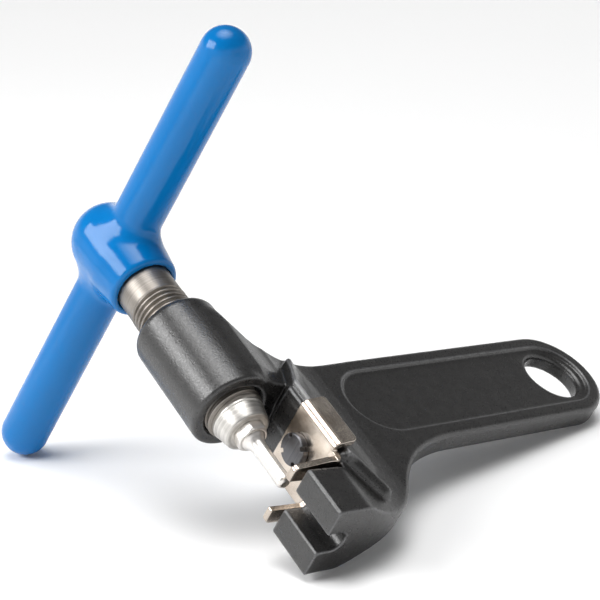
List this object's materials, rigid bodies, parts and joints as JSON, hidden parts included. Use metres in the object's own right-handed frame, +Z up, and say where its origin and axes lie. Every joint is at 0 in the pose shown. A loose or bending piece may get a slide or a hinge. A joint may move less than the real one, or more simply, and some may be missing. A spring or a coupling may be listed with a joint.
{
  "type": "chain tool",
  "caption": "Hand-held roller-chain tool: a T-handled screw drives a pin along the slotted anvil of a flat-gripped cast frame, with a sheet-metal chain seat.",
  "frame": {"origin": "where the drive axis meets the anvil's inner face, with the tool lying as it rests on a table", "axes": "+Z up; +X the level direction of the drive axis towards the anvil; +Y across, towards the grip's end"},
  "size_m": [0.1124, 0.1288, 0.1022],
  "materials": {
    "casting": "black painted forging, semi-gloss with fine grain",
    "seat": "nickel-plated sheet, polished",
    "screw_black": "black oxide, turned",
    "steel": "turned satin steel",
    "bar_steel": "drawn bar, covered by the coating",
    "coating": "glossy dipped vinyl",
    "pin_steel": "ground and polished"
  },
  "bodies": {
    "frame": {"frame": "casting", "chain_seat": "seat", "seat_screw": "screw_black"},
    "pin": {"drive_pin": "pin_steel"},
    "handle": {"drive_screw": "steel", "crossbar": "bar_steel", "handle_coating": "coating"}
  },
  "joints": [
    {"name": "screw_advance", "type": "slide", "parent": "frame", "child": "pin", "axis": [0.8749, 0, -0.4842], "range_m": [-0.02, 0.006]},
    {"name": "handle_turn", "type": "hinge", "parent": "pin", "child": "handle", "pos_m": [-0.06676, 0, 0.03695], "axis": [0.8749, 0, -0.4842], "range_deg": [-5660, 1690]}
  ],
  "couplings": [
    {"joint": "screw_advance", "follows": "handle_turn", "m_per_rad": 0.00020213}
  ]
}
